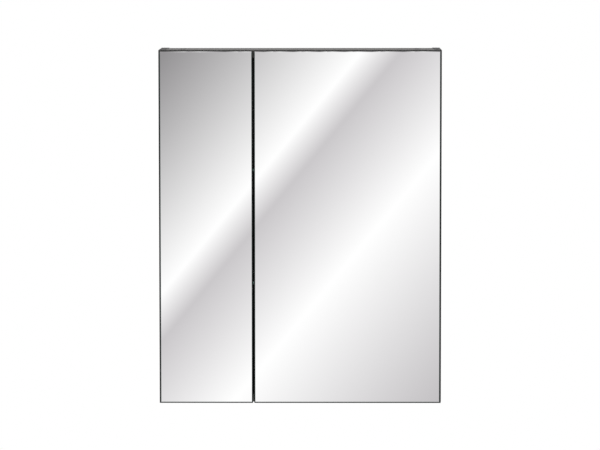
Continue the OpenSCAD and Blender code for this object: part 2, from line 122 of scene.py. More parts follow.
def noise(tree, where, size, detail=2.0, roughness=0.5):
    """Noise from 0 to 1, with spots of about that size."""
    inputs = {"Vector": where, "Scale": 1 / size, "Detail": detail, "Roughness": roughness}
    return node(tree, "ShaderNodeTexNoise", inputs).outputs["Fac"]


def cells(tree, where, size, feature="F1"):
    return node(tree, "ShaderNodeTexVoronoi", {"Vector": where, "Scale": 1 / size}, feature=feature)


def remap(tree, value, low, high, to_low=0.0, to_high=1.0):
    """Maps low..high to to_low..to_high, and holds what lies beyond."""
    return node(tree, "ShaderNodeMapRange", {"Value": value, "From Min": low, "From Max": high,
                                             "To Min": to_low, "To Max": to_high}).outputs[0]


def mix(tree, amount, first, second):
    """Blends two colours, each a value or a socket."""
    first, second = ((*c, 1) if isinstance(c, tuple) else c for c in (first, second))
    inputs = {"Factor": amount, 6: first, 7: second}
    return node(tree, "ShaderNodeMix", inputs, data_type="RGBA").outputs[2]


def shade(tree, value, low, high, first, second):
    """Goes from one colour to another as value goes from low to high."""
    return mix(tree, remap(tree, value, low, high), first, second)


def mix_shaders(tree, amount, first, second):
    """Blends the outputs of two shader nodes."""
    inputs = {0: amount, 1: first.outputs[0], 2: second.outputs[0]}
    return node(tree, "ShaderNodeMixShader", inputs)


def bump(tree, height, depth, under=None):
    """Raises the surface by height, which runs from 0 to 1, times depth."""
    inputs = {"Height": height, "Distance": depth}
    if under is not None:
        inputs["Normal"] = under
    return node(tree, "ShaderNodeBump", inputs).outputs[0]


def wire(tree, shader, **sockets):
    for name, source in sockets.items():
        tree.links.new(source, shader.inputs[name.replace("_", " ")])


# ---- Materials ----

def laminate():
    """Melamine laminate: a fine pearl texture, wipe marks, hairline scratches, uneven colour."""
    made, tree, shader = new_material("graphite_laminate", Specular_IOR_Level=0.34)
    dark, pale = (0.048, 0.0455, 0.0395), (0.0625, 0.0595, 0.052)
    speck, scratched = (0.027, 0.0255, 0.0225), (0.1, 0.1, 0.095)
    where = coords(tree)
    pearls = cells(tree, where, 0.9 * MM, "SMOOTH_F1").outputs["Distance"]
    grain = noise(tree, where, 0.35 * MM, 3)
    clouds = noise(tree, where, 90 * MM, 3)
    wipes = noise(tree, coords(tree, (1, 1, 0.12)), 14 * MM, 4, 0.7)
    scratches = remap(tree, noise(tree, coords(tree, (1, 1, 0.06)), 1.1 * MM, 2), 0.76, 0.8)
    tone = shade(tree, clouds, 0.3, 0.7, dark, pale)
    speckled = mix(tree, remap(tree, grain, 0.35, 0.75, 0, 0.4), tone, speck)
    wire(tree, shader,
         Base_Color=mix(tree, scaled(tree, scratches, 0.35), speckled, scratched),
         Roughness=calc(tree, "ADD", remap(tree, wipes, 0.3, 0.8, 0.38, 0.5),
                        remap(tree, grain, 0, 1, -0.04, 0.04)),
         Normal=bump(tree, grain, 0.008 * MM, bump(tree, pearls, 0.03 * MM)))
    return made


def laminate_corner():
    """The laminate's rounded-off corners, paler here and there: rubbed wear, and a painted edge
    highlight.
    """
    made, tree, shader = new_material("graphite_corner", Specular_IOR_Level=0.45)
    dark, rubbed_and_highlit, chipped = (0.041, 0.039, 0.0345), (0.087, 0.083, 0.074), (0.16, 0.15, 0.13)
    where = coords(tree)
    # Paler patches on every rounded edge: part rubbed wear, part a painted edge highlight.
    rubs_and_highlights = remap(tree, noise(tree, where, 18 * MM, 5, 0.7), 0.42, 0.68)
    nicks = remap(tree, noise(tree, where, 1.6 * MM, 3, 0.6), 0.66, 0.72)
    wire(tree, shader,
         Base_Color=mix(tree, scaled(tree, nicks, 0.6), mix(tree, rubs_and_highlights, dark, rubbed_and_highlit), chipped),
         Roughness=remap(tree, rubs_and_highlights, 0, 1, 0.45, 0.34), Normal=bump(tree, nicks, -0.03 * MM))
    return made


def edge_plastic(name, dark, pale, scuffed, gloss):
    """Extruded ABS edge band with fine lines from the scraper and a few scuffs."""
    made, tree, shader = new_material(name, Specular_IOR_Level=gloss)
    where = coords(tree)
    lines = noise(tree, coords(tree, (1, 1, 0.02)), 0.5 * MM, 2)
    tone = shade(tree, noise(tree, where, 30 * MM, 3), 0.3, 0.7, dark, pale)
    scuffs = remap(tree, noise(tree, where, 4 * MM, 5, 0.7), 0.62, 0.75)
    wire(tree, shader, Base_Color=mix(tree, scaled(tree, scuffs, 0.3), tone, scuffed),
         Roughness=remap(tree, lines, 0.3, 0.7, 0.42, 0.52), Normal=bump(tree, lines, 0.01 * MM))
    return made


def lacquered_hardboard():
    """The back's smooth side, with the board's fibres just showing through the lacquer."""
    made, tree, shader = new_material("dark_hardboard", Specular_IOR_Level=0.4)
    dark, pale = (0.05, 0.05, 0.048), (0.065, 0.064, 0.062)
    fibres = noise(tree, coords(tree, (1, 1, 0.3)), 1.6 * MM, 4, 0.65)
    clouds = noise(tree, coords(tree), 60 * MM, 3)
    wire(tree, shader, Base_Color=shade(tree, clouds, 0.3, 0.7, dark, pale),
         Roughness=remap(tree, fibres, 0.3, 0.7, 0.4, 0.55), Normal=bump(tree, fibres, 0.02 * MM))
    return made


def raw_hardboard():
    """The rough side of hardboard: pressed brown fibre with the print of the press's wire mesh."""
    made, tree, shader = new_material("raw_hardboard", Specular_IOR_Level=0.2)
    dark, pale, fibre = (0.17, 0.094, 0.05), (0.25, 0.15, 0.085), (0.34, 0.23, 0.14)
    where = coords(tree)
    axes = node(tree, "ShaderNodeSeparateXYZ", {0: where}).outputs
    across, up = axes[0], axes[2]
    wires_per_metre = 2 * math.pi / (1.8 * MM)
    mesh_print = calc(tree, "MULTIPLY", *(calc(tree, "SINE", scaled(tree, axis, wires_per_metre))
                                          for axis in (across, up)))
    fibres = noise(tree, where, 2.2 * MM, 6, 0.7)
    tone = shade(tree, noise(tree, where, 45 * MM, 4), 0.3, 0.7, dark, pale)
    wire(tree, shader, Base_Color=mix(tree, remap(tree, fibres, 0.4, 0.75, 0, 0.7), tone, fibre),
         Roughness=remap(tree, fibres, 0.3, 0.7, 0.75, 0.95),
         Normal=bump(tree, fibres, 0.12 * MM, bump(tree, mesh_print, 0.08 * MM)))
    return made


def particle_board():
    """A board's bare edge: pressed wood chips of two sizes, with dark pores between them."""
    made, tree, shader = new_material("particle_board", Specular_IOR_Level=0.2)
    dark, pale, pore = (0.25, 0.155, 0.08), (0.47, 0.34, 0.2), (0.07, 0.04, 0.022)
    where = coords(tree, (1, 1, 0.4))
    swirl = node(tree, "ShaderNodeTexNoise",
                 {"Vector": where, "Scale": 1 / (2.5 * MM), "Detail": 3.0}).outputs["Color"]
    pushed = node(tree, "ShaderNodeVectorMath", {0: swirl, 1: (1.8 * MM,) * 3, 2: where},
                  operation="MULTIPLY_ADD").outputs[0]
    coarse, small = (
        node(tree, "ShaderNodeSeparateColor", {0: cells(tree, pushed, size).outputs["Color"]})
        for size in (1.1 * MM, 0.45 * MM))
    hue = calc(tree, "ADD", scaled(tree, coarse.outputs[0], 0.6),
               scaled(tree, small.outputs[1], 0.4))
    pores = remap(tree, noise(tree, coords(tree), 0.8 * MM, 4, 0.7), 0.64, 0.72)
    wire(tree, shader,
         Base_Color=mix(tree, pores, shade(tree, hue, 0.2, 0.8, dark, pale), pore),
         Roughness=remap(tree, hue, 0, 1, 0.8, 0.95),
         Normal=bump(tree, calc(tree, "SUBTRACT", hue, pores), 0.12 * MM))
    return made


def silver():
    """The mirror's face: silvered float glass, flat to a few microns, with the faintest smears."""
    made, tree, shader = new_material("mirror_glass", Metallic=1.0)
    clean, dull = (0.925, 0.925, 0.925), (0.905, 0.905, 0.905)
    where = coords(tree)
    smears = remap(tree, noise(tree, coords(tree, (1, 1, 0.4)), 60 * MM, 5, 0.65), 0.55, 0.85)
    dust = remap(tree, noise(tree, where, 1.2 * MM, 1), 0.78, 0.86)
    marks = calc(tree, "ADD", scaled(tree, smears, 0.3), scaled(tree, dust, 0.2))
    wire(tree, shader, Base_Color=mix(tree, marks, clean, dull),
         Roughness=scaled(tree, smears, 0.012),
         Normal=bump(tree, noise(tree, where, 180 * MM, 0), 0.006 * MM))
    return made


def glass_rim(name, tone, deep):
    """A ground and polished glass edge, green from the depth of glass behind it."""
    made, tree, shader = new_material(name, Coat_Weight=0.5, Coat_Roughness=0.06, IOR=1.52)
    streaks = noise(tree, coords(tree, (1, 6, 1)), 3 * MM, 4, 0.6)
    clouds = noise(tree, coords(tree), 25 * MM, 2)
    wire(tree, shader, Base_Color=shade(tree, clouds, 0.3, 0.7, tone, deep),
         Roughness=remap(tree, streaks, 0.3, 0.7, 0.12, 0.26),
         Normal=bump(tree, streaks, 0.01 * MM))
    return made


def backing_paint():
    """The grey paint that seals the silver on a mirror's back."""
    made, tree, shader = new_material("mirror_backing_paint")
    dark, pale = (0.16, 0.18, 0.19), (0.2, 0.22, 0.23)
    where = coords(tree)
    orange_peel = noise(tree, where, 2.5 * MM, 2)
    wire(tree, shader, Base_Color=mix(tree, noise(tree, where, 40 * MM), dark, pale),
         Roughness=remap(tree, orange_peel, 0.3, 0.7, 0.45, 0.6),
         Normal=bump(tree, orange_peel, 0.02 * MM))
    return made


def clear_glass():
    """Shelf glass. Lamps shine through it, so that what lies below it isn't in a black shadow."""
    made, tree, shader = new_material("shelf_glass", Transmission_Weight=1.0, IOR=1.5,
                                      Base_Color=(0.93, 0.975, 0.96, 1))
    smears = remap(tree, noise(tree, coords(tree), 35 * MM, 5, 0.65), 0.5, 0.8)
    wire(tree, shader, Roughness=scaled(tree, smears, 0.03),
         Normal=bump(tree, noise(tree, coords(tree), 70 * MM, 0), 0.004 * MM))
    lamp_light = node(tree, "ShaderNodeBsdfTransparent", {0: (0.86, 0.93, 0.91, 1)})
    shadow = node(tree, "ShaderNodeLightPath").outputs["Is Shadow Ray"]
    both = mix_shaders(tree, shadow, shader, lamp_light)
    tree.links.new(both.outputs[0], tree.nodes["Material Output"].inputs[0])
    return made


def foam():
    """Closed-cell foam tape: black, with open pores where it is cut."""
    made, tree, shader = new_material("foam_tape", Specular_IOR_Level=0.2)
    deep, wall = (0.008, 0.008, 0.008), (0.03, 0.03, 0.03)
    pores = cells(tree, coords(tree), 0.5 * MM).outputs["Distance"]
    wire(tree, shader, Base_Color=shade(tree, pores, 0.1, 0.6, deep, wall),
         Roughness=remap(tree, pores, 0, 1, 0.8, 0.98), Normal=bump(tree, pores, 0.08 * MM))
    return made


def metal(name, tone, other, rough, brush, scratches=0.5):
    """Plated metal: cloudy plating, brushing along one axis and a few fine scratches."""
    made, tree, shader = new_material(name, Metallic=1.0)
    scratched = tuple(0.6 * c for c in tone)
    where = coords(tree)
    clouds = noise(tree, where, 6 * MM, 4, 0.6)
    lines = noise(tree, coords(tree, brush), 0.4 * MM, 3)
    marks = remap(tree, noise(tree, coords(tree, (0.25, 1, 1)), 1.5 * MM, 6, 0.75), 0.64, 0.7)
    tint = shade(tree, clouds, 0.3, 0.7, tone, other)
    wire(tree, shader,
         Base_Color=mix(tree, scaled(tree, marks, scratches), tint, scratched),
         Roughness=calc(tree, "ADD", remap(tree, clouds, 0.3, 0.7, *rough),
                        scaled(tree, marks, 0.15)),
         Normal=bump(tree, lines, 0.006 * MM, bump(tree, clouds, 0.02 * MM)))
    return made


def nylon():
    """Moulded black nylon with a sparked, slightly greasy surface."""
    made, tree, shader = new_material("black_nylon", Specular_IOR_Level=0.2)
    dark, pale = (0.012, 0.012, 0.012), (0.024, 0.024, 0.023)
    where = coords(tree)
    spark = noise(tree, where, 0.25 * MM, 3)
    wire(tree, shader, Base_Color=mix(tree, noise(tree, where, 8 * MM, 3), dark, pale),
         Roughness=remap(tree, spark, 0.3, 0.7, 0.5, 0.66), Normal=bump(tree, spark, 0.012 * MM))
    return made


def beech():
    """Turned beech: fine grain along the dowel, with the short dark flecks of its rays."""
    made, tree, shader = new_material("beech", Specular_IOR_Level=0.3)
    dark, pale, fleck = (0.46, 0.27, 0.14), (0.62, 0.42, 0.25), (0.3, 0.16, 0.08)
    grain = noise(tree, coords(tree, (0.06, 1, 1)), 0.9 * MM, 5, 0.6)
    flecks = remap(tree, noise(tree, coords(tree, (0.2, 1, 1)), 0.5 * MM, 2), 0.6, 0.7)
    tone = shade(tree, grain, 0.3, 0.7, dark, pale)
    wire(tree, shader, Base_Color=mix(tree, scaled(tree, flecks, 0.5), tone, fleck),
         Roughness=remap(tree, grain, 0.3, 0.7, 0.55, 0.75), Normal=bump(tree, grain, 0.05 * MM))
    return made


def clear_rubber():
    """Soft clear polyurethane with a faint bloom on it."""
    made, tree, shader = new_material("clear_rubber", Transmission_Weight=0.75, IOR=1.45)
    clear, dull = (0.86, 0.88, 0.87), (0.74, 0.77, 0.76)
    bloom = noise(tree, coords(tree), 3 * MM, 4, 0.6)
    wire(tree, shader, Base_Color=shade(tree, bloom, 0.3, 0.7, clear, dull),
         Roughness=remap(tree, bloom, 0.3, 0.7, 0.2, 0.35), Normal=bump(tree, bloom, 0.02 * MM))
    return made


LAMINATE = laminate()
CORNER = laminate_corner()
EDGE = edge_plastic("graphite_edge", dark=(0.052, 0.051, 0.048), pale=(0.064, 0.063, 0.059),
                    scuffed=(0.09, 0.09, 0.085), gloss=0.3)
DARK_EDGE = edge_plastic("door_edge", dark=(0.012, 0.012, 0.0115), pale=(0.018, 0.018, 0.0175),
                         scuffed=(0.035, 0.035, 0.034), gloss=0.15)
LACQUER = lacquered_hardboard()
RAW_HARDBOARD = raw_hardboard()
CHIPS = particle_board()
SILVER = silver()
MIRROR_RIM = glass_rim("mirror_rim", tone=(0.02, 0.044, 0.037), deep=(0.01, 0.025, 0.02))
BACKING = backing_paint()
GLASS = clear_glass()
SHELF_RIM = glass_rim("shelf_rim", tone=(0.05, 0.13, 0.105), deep=(0.03, 0.09, 0.07))
FOAM = foam()
ZINC = metal("zinc_plated", (0.6, 0.62, 0.65), (0.68, 0.68, 0.66), rough=(0.22, 0.36),
             brush=(0.05, 1, 1))
NICKEL = metal("nickel_plated", (0.68, 0.65, 0.61), (0.74, 0.71, 0.67), rough=(0.14, 0.24),
               brush=(1, 0.05, 1), scratches=0.35)
NYLON = nylon()
BEECH = beech()
RUBBER = clear_rubber()


# ---- Mesh building ----

CAD_WELD, CUT_WELD = 1e-6, 1e-7     # corners closer than this are one
CAD_FLAT, CUT_FLAT = math.radians(1), math.radians(0.5)     # faces that bend less are joined up
ON_AXIS = 1e-9


def solids(name):
    """The box of each separate solid in a CAD node, as (low, high) pairs."""
    bm = bmesh.new()
    bm.from_mesh(frame["nodes"][name].data)
    bmesh.ops.remove_doubles(bm, verts=bm.verts, dist=CAD_WELD)
    boxes, seen = [], set()
    for start in bm.verts:
        if start in seen:
            continue
        seen.add(start)
        group, reached = [], [start]
        while reached:
            vert = reached.pop()
            group.append(vert.co.copy())
            for edge in vert.link_edges:
                other = edge.other_vert(vert)
                if other not in seen:
                    seen.add(other)
                    reached.append(other)
        boxes.append(tuple(Vector([pick(co[k] for co in group) for k in range(3)])
                           for pick in (min, max)))
    bm.free()
    return boxes


def middle(low, high):
    return (low + high) / 2


def in_mm(profile):
    """Profile points given in millimetres."""
    return [(radius * MM, height * MM) for radius, height in profile]


def facing(place, outward, turn=0.0):
    """A matrix at place whose z axis points outward, turned about it by turn degrees."""
    spin = Matrix.Rotation(math.radians(turn), 4, "Z")
    return Matrix.Translation(place) @ outward.to_track_quat("Z", "Y").to_matrix().to_4x4() @ spin


def lathe(bm, matrix, profile, segments=48):
    """Turns a profile of (radius, height) points about the matrix's z axis. The profile starts
    and ends on the axis."""
    angles = [2 * math.pi * i / segments for i in range(segments)]
    rings = []
    for radius, height in profile:
        ring = [(radius * math.cos(a), radius * math.sin(a), height) for a in angles]
        if radius <= ON_AXIS:
            ring = ring[:1]
        rings.append([bm.verts.new(matrix @ Vector(point)) for point in ring])
    for lower, upper in zip(rings, rings[1:]):
        for i in range(segments):
            j = (i + 1) % segments
            if len(lower) == 1:
                bm.faces.new((lower[0], upper[j], upper[i]))
            elif len(upper) == 1:
                bm.faces.new((lower[i], lower[j], upper[0]))
            else:
                bm.faces.new((lower[i], lower[j], upper[j], upper[i]))


def rod(bm, start, direction, length, radius, segments=32):
    profile = ((0, 0), (radius, 0), (radius, length), (0, length))
    lathe(bm, facing(start, direction), profile, segments)


def loft(bm, lower, upper):
    """Closes two rings of vertices, which run anticlockwise, into a solid."""
    bm.faces.new(lower[::-1])
    bm.faces.new(upper)
    for i in range(len(lower)):
        j = (i + 1) % len(lower)
        bm.faces.new((lower[i], lower[j], upper[j], upper[i]))


def prism(bm, matrix, outline, low, high):
    """Extrudes an outline, which runs anticlockwise, from low to high along the matrix's z axis."""
    loft(bm, *([bm.verts.new(matrix @ Vector((x, y, z))) for x, y in outline]
               for z in (low, high)))


def box(bm, low, high):
    outline = ((low[0], low[1]), (high[0], low[1]), (high[0], high[1]), (low[0], high[1]))
    prism(bm, Matrix(), outline, low[2], high[2])


def as_mesh(name, bm):
    """A mesh whose faces all look outward. bm is used up."""
    mesh = bpy.data.meshes.new(name)
    bmesh.ops.recalc_face_normals(bm, faces=bm.faces)
    bm.to_mesh(mesh)
    bm.free()
    return mesh


def as_object(name, bm):
    """An object with bm's mesh. bm is used up."""
    made = bpy.data.objects.new(name, as_mesh(name, bm))
    bpy.context.scene.collection.objects.link(made)
    return made


def with_modifiers(made):
    """The object's mesh with its modifiers applied."""
    bpy.context.view_layer.update()
    seen = made.evaluated_get(bpy.context.evaluated_depsgraph_get())
    return bpy.data.meshes.new_from_object(seen)


def cut_out(whole, tools):
    """The mesh of one object less the closed solids of others. All the objects are used up."""
    for tool in tools:
        cut = whole.modifiers.new("cut", "BOOLEAN")
        cut.object = tool
        cut.solver = "EXACT"
    made = bmesh.new()
    made.from_mesh(with_modifiers(whole))
    for used in (whole, *tools):
        bpy.data.objects.remove(used)
    return made


def carve(bm, cutter):
    """Cuts the closed solids in cutter out of bm, and returns the result. Both are used up."""
    carved = cut_out(as_object("whole", bm), [as_object("tool", cutter)])
    bmesh.ops.remove_doubles(carved, verts=carved.verts, dist=CUT_WELD)
    bmesh.ops.dissolve_limit(carved, angle_limit=CUT_FLAT, verts=carved.verts, edges=carved.edges)
    return carved


def soften(bm, width, steps=2, crease=35):
    """Rounds off every edge sharper than crease degrees, or cuts it flat if steps is 1."""
    bm.normal_update()
    sharp = [edge for edge in bm.edges
             if len(edge.link_faces) == 2 and edge.calc_face_angle() > math.radians(crease)]
    bmesh.ops.bevel(bm, geom=sharp, offset=width, segments=steps, profile=0.5, affect="EDGES",
                    clamp_overlap=True, material=-1)


def join(bm, part):
    """Adds part's mesh to bm. part is used up."""
    mesh = bpy.data.meshes.new("part")
    part.to_mesh(mesh)
    part.free()
    bm.from_mesh(mesh)
    bpy.data.meshes.remove(mesh)


def stamp(bm, shape, matrix):
    """Adds a copy of shape, a mesh, moved by matrix."""
    copy = shape.copy()
    copy.transform(matrix)
    bm.from_mesh(copy)
    bpy.data.meshes.remove(copy)


def piece(name, bm, nodes, materials, pick=None, smooth=50):
    """A finished piece that stands for CAD nodes and rides on their body. pick chooses each face's
    material, and edges sharper than smooth degrees stay crisp."""
    if pick:
        for face in bm.faces:
            face.material_index = pick(face)
    made = as_object(name, bm)
    made.data.shade_smooth()
    made.data.set_sharp_from_angle(angle=math.radians(smooth))
    normals = made.modifiers.new("normals", "WEIGHTED_NORMAL")
    normals.keep_sharp = True
    made.data = with_modifiers(made)
    made.modifiers.clear()
    made.data.name = name
    for material in materials:
        made.data.materials.append(material)
    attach(made, frame["nodes"][nodes[0]]["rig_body"])
    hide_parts(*nodes)
    return made


def refined(name, material, width):
    """A CAD node's own shape, with its flat faces joined up again and its edges rounded off."""
    bm = bmesh.new()
    bm.from_mesh(frame["nodes"][name].data)
    bmesh.ops.remove_doubles(bm, verts=bm.verts, dist=CAD_WELD)
    bmesh.ops.dissolve_limit(bm, angle_limit=CAD_FLAT, verts=bm.verts, edges=bm.edges)
    soften(bm, width)
    return piece(name + "_finished", bm, [name], [material])


# ---- Boards and edge bands ----

BOARD_EDGE = 0.3 * MM           # how far a board's corners are rounded off
BAND_EDGE = 0.45 * MM
BACK_EDGE = 0.15 * MM
BORE_R = {"cam_bolts": 2.5 * MM, "wood_dowels": 4.05 * MM, "shelf_supports": 2.5 * MM,
          "hinge_plate_screws": 2.05 * MM}
CUP_R = 17.5 * MM
CUP_FLANGE_R = 18 * MM
ACCESS_HOLE_R = 5 * MM
OVERCUT = MM                    # how far a cutter stands beyond the face that it enters
BORE_SPARE = 0.1 * MM           # how much deeper a bore is than what goes into it
PIN_HOLE_SPARE = 2 * MM
POCKET_SPARE = 0.05 * MM        # round a cam housing
GROOVE_SPARE = 0.1 * MM         # in front of the back panel, and behind it
GROOVE_DEPTH_SPARE = 0.2 * MM
HOUSING_REACH = 20 * MM         # a cam housing is nearer than this to its own panel's face
HOLE_PITCH = 32 * MM
HOLE_STEPS = range(-2, 3)       # the pin holes above and below each shelf support
SUPPORT_TAB = 2.5 * MM          # from a shelf support's pin up to its tab's top


def looks_along(face, direction):
    return face.normal.dot(direction) > 0.9


def is_corner(face):
    """1 for a face that slants, as the rounded edges do, and 0 for one that faces along an axis."""
    return int(max(abs(k) for k in face.normal) < 0.98)


def side_boards():
    """The sides: a groove for the back panel, rows of pin holes, and bores for bolts, dowels and
    screws. Their rear edges are bare, and their ends are dark."""
    groove_low, groove_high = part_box("back_panel")
    for side, sign in zip(SIDES, (-1, 1)):
        low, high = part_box("side_panel_" + side)
        inner = high.x if sign < 0 else low.x
        groove_floor = groove_low.x if sign < 0 else groove_high.x
        board, cutter = bmesh.new(), bmesh.new()
        box(board, low, high)
        deep, shallow = sorted((groove_floor + sign * GROOVE_DEPTH_SPARE, inner - sign * OVERCUT))
        box(cutter, Vector((deep, groove_low.y - GROOVE_SPARE, low.z - OVERCUT)),
            Vector((shallow, groove_high.y + GROOVE_SPARE, high.z + OVERCUT)))
        for hardware, radius in BORE_R.items():
            for_pins = hardware == "shelf_supports"
            for part_low, part_high in solids(hardware):
                centre = middle(part_low, part_high)
                if centre.x * sign < 0:
                    continue
                if for_pins:
                    centre.z = part_high.z - SUPPORT_TAB
                tip = part_low.x if sign < 0 else part_high.x
                depth = abs(tip - inner) + (PIN_HOLE_SPARE if for_pins else BORE_SPARE)
                for step in HOLE_STEPS if for_pins else (0,):
                    mouth = (inner - sign * OVERCUT, centre.y, centre.z + step * HOLE_PITCH)
                    rod(cutter, Vector(mouth), X * sign, depth + OVERCUT, radius)
        board = carve(board, cutter)
        soften(board, BOARD_EDGE)
        piece("side_board_" + side, board, ["side_panel_" + side],
              [LAMINATE, CORNER, CHIPS, DARK_EDGE],
              lambda face: 2 if looks_along(face, Y)
              else 3 if abs(face.normal.z) > 0.9 else is_corner(face))


def flat_boards():
    """The top and the bottom, with round pockets for the cam fittings and bare rear edges."""
    for name, up in (("top_panel", 1), ("bottom_panel", -1)):
        low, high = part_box(name)
        outer = high.z if up > 0 else low.z
        board, cutter = bmesh.new(), bmesh.new()
        box(board, low, high)
        for part_low, part_high in solids("cam_housings"):
            centre = middle(part_low, part_high)
            if abs(centre.z - outer) < HOUSING_REACH:
                depth = part_high.z - part_low.z + BORE_SPARE
                radius = (part_high.x - part_low.x) / 2 + POCKET_SPARE
                rod(cutter, Vector((centre.x, centre.y, outer + up * OVERCUT)), -Z * up,
                    depth + OVERCUT, radius, 64)
        board = carve(board, cutter)
        soften(board, BOARD_EDGE)
        piece(name.replace("panel", "board"), board, [name], [LAMINATE, CORNER, CHIPS],
              lambda face: 2 if looks_along(face, Y) else is_corner(face))


def door_boards():
    """The doors' boards, with blind bores for the hinge cups. Their fronts are dark."""
    for side in SIDES:
        low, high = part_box("door_board_" + side)
        board, cutter = bmesh.new(), bmesh.new()
        box(board, low, high)
        for level in LEVELS:
            cup_low, cup_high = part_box(f"hinge_cup_{level}_{side}")
            centre_x = (cup_low.x + CUP_FLANGE_R if side == "left" else cup_high.x - CUP_FLANGE_R)
            mouth = Vector((centre_x, high.y + OVERCUT, (cup_low.z + cup_high.z) / 2))
            rod(cutter, mouth, -Y, high.y - cup_low.y + BORE_SPARE + OVERCUT, CUP_R, 96)
        board = carve(board, cutter)
        soften(board, BOARD_EDGE / 2)
        piece("door_core_" + side, board, ["door_board_" + side], [LAMINATE, CORNER, DARK_EDGE],
              lambda face: 2 if looks_along(face, -Y) else is_corner(face))


def carcass_bands():
    """Edge bands on the carcass's front, glued on flush, with a hair line where they meet it."""
    for name in ("side_edge_bands", "top_edge_band", "bottom_edge_band"):
        bm = bmesh.new()
        for low, high in solids(name):
            box(bm, low, high)
        soften(bm, BAND_EDGE, 3)
        piece(name + "_finished", bm, [name], [EDGE])


def door_bands():
    """Four strips round each door, butted at the corners, the upright ones running through."""
    for side in SIDES:
        low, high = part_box("door_edge_bands_" + side)
        core_low, core_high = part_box("door_board_" + side)
        bm = bmesh.new()
        for x0, x1 in ((low.x, core_low.x), (core_high.x, high.x)):
            box(bm, Vector((x0, low.y, low.z)), Vector((x1, high.y, high.z)))
        for z0, z1 in ((low.z, core_low.z), (core_high.z, high.z)):
            box(bm, Vector((core_low.x, low.y, z0)), Vector((core_high.x, high.y, z1)))
        soften(bm, BAND_EDGE / 2)
        piece("door_bands_" + side, bm, ["door_edge_bands_" + side], [DARK_EDGE])


def back_board():
    """Hardboard, raw on its rear face, with countersunk screw holes and the hangers' access
    holes."""
    low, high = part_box("back_panel")
    board, cutter = bmesh.new(), bmesh.new()
    box(board, low, high)
    for part_low, part_high in solids("hanger_hole_caps"):
        centre = middle(part_low, part_high)
        rod(cutter, Vector((centre.x, low.y - OVERCUT, centre.z)), Y, high.y - low.y + 2 * OVERCUT,
            ACCESS_HOLE_R, 48)
    for part_low, part_high in solids("back_panel_screws"):
        centre = middle(part_low, part_high)
        lathe(cutter, facing(Vector((centre.x, high.y, centre.z)), Y),
              in_mm(((0, -4), (1.55, -4), (1.55, -1.65), (3.3, 0.05), (3.3, 1), (0, 1))), 32)
    board = carve(board, cutter)
    soften(board, BACK_EDGE)
    piece("back_board", board, ["back_panel"], [LACQUER, RAW_HARDBOARD],
          lambda face: int(face.normal.y > 0.5))


# ---- Mirrors and glass ----

ARRIS = 1.0 * MM                # the flat that is ground along a mirror's edges
TAPE_EDGE = 0.3 * MM
SHELF_EDGE = 0.6 * MM
PIN_R = 2.45 * MM               # a shelf support's pin
COLLAR_R = 4 * MM
PIN_GROOVES = [(PIN_R - dip * MM, (start + along) * MM) for start in (2.0, 3.5, 5.0)
               for along, dip in ((0, 0), (0.25, 0.25), (0.5, 0))]
TAB_EDGE = 0.4 * MM


def silver_or_painted_highlight(face):
    """Whether a mirror's face gets the silver: its front, and the upper arris, which gets it as a
    painted highlight for light from above.
    """
    return looks_along(face, -Y) or (face.normal.y < -0.5 and face.normal.z > 0.5)


def mirrors():
    """Silvered glass with ground edges and painted backs, and the foam tape under it."""
    for side in SIDES:
        bm = bmesh.new()
        box(bm, *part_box("mirror_" + side))
        soften(bm, ARRIS, 1)
        # The upper arris takes the silver as a painted highlight; the side and lower arrises take
        # the dark rim glass.
        piece("mirror_sheet_" + side, bm, ["mirror_" + side], [SILVER, MIRROR_RIM, BACKING],
              lambda face: 2 if looks_along(face, Y) else 0 if silver_or_painted_highlight(face) else 1,
              smooth=20)
        tape = bmesh.new()
        for low, high in solids("mirror_tape_" + side):
            box(tape, low, high)
        soften(tape, TAPE_EDGE, 3)
        piece("foam_strips_" + side, tape, ["mirror_tape_" + side], [FOAM])


def shelves():
    """Clear glass with polished edges."""
    for name in ("shelf_lower", "shelf_upper"):
        bm = bmesh.new()
        box(bm, *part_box(name))
        soften(bm, SHELF_EDGE, 3)
        piece("glass_" + name, bm, [name], [GLASS, SHELF_RIM],
              lambda face: int(abs(face.normal.z) <= 0.95))


def shelf_supports():
    """Spoon-shaped steel supports, each a ribbed pin, a collar and a round-ended tab."""
    supports = bmesh.new()
    for low, high in solids("shelf_supports"):
        sign = -1 if low.x < 0 else 1
        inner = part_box("top_panel")[0 if sign < 0 else 1].x
        pin_z, centre_y = high.z - SUPPORT_TAB, (low.y + high.y) / 2
        pin_tip = abs((low.x if sign < 0 else high.x) - inner)
        tab_tip = abs((high.x if sign < 0 else low.x) - inner)
        lathe(supports, facing(Vector((inner, centre_y, pin_z)), X * sign),
              ((0, -MM), (COLLAR_R - 0.3 * MM, -MM), (COLLAR_R, -0.7 * MM), (COLLAR_R, 0),
               (PIN_R, 0), *PIN_GROOVES, (PIN_R, pin_tip - 0.8 * MM),
               (PIN_R - 0.6 * MM, pin_tip), (0, pin_tip)), 40)
        tab_r = (high.y - low.y) / 2
        turns = [math.pi * i / 20 for i in range(21)]
        outline = [(0, -tab_r), *((tab_tip - tab_r + tab_r * math.sin(a), -tab_r * math.cos(a))
                                  for a in turns), (0, tab_r)]
        if sign > 0:
            outline = [(-along, across) for along, across in outline][::-1]
        tab = bmesh.new()
        prism(tab, Matrix.Translation((inner, centre_y, 0)), outline, pin_z, high.z)
        soften(tab, TAB_EDGE, 3)
        join(supports, tab)
    piece("support_pins", supports, ["shelf_supports"], [NICKEL])


def shelf_pads():
    """The clear pads that the shelves lie on."""
    pads = bmesh.new()
    for low, high in solids("shelf_pads"):
        radius, height = (high.x - low.x) / 2, high.z - low.z
        centre = middle(low, high)
        lathe(pads, facing(Vector((centre.x, centre.y, low.z)), Z),
              ((0, 0), (radius, 0), (radius, 0.4 * height), (radius - 0.25 * MM, 0.85 * height),
               (radius - 0.8 * MM, height), (0, height)), 40)
    piece("support_pads", pads, ["shelf_pads"], [RUBBER])


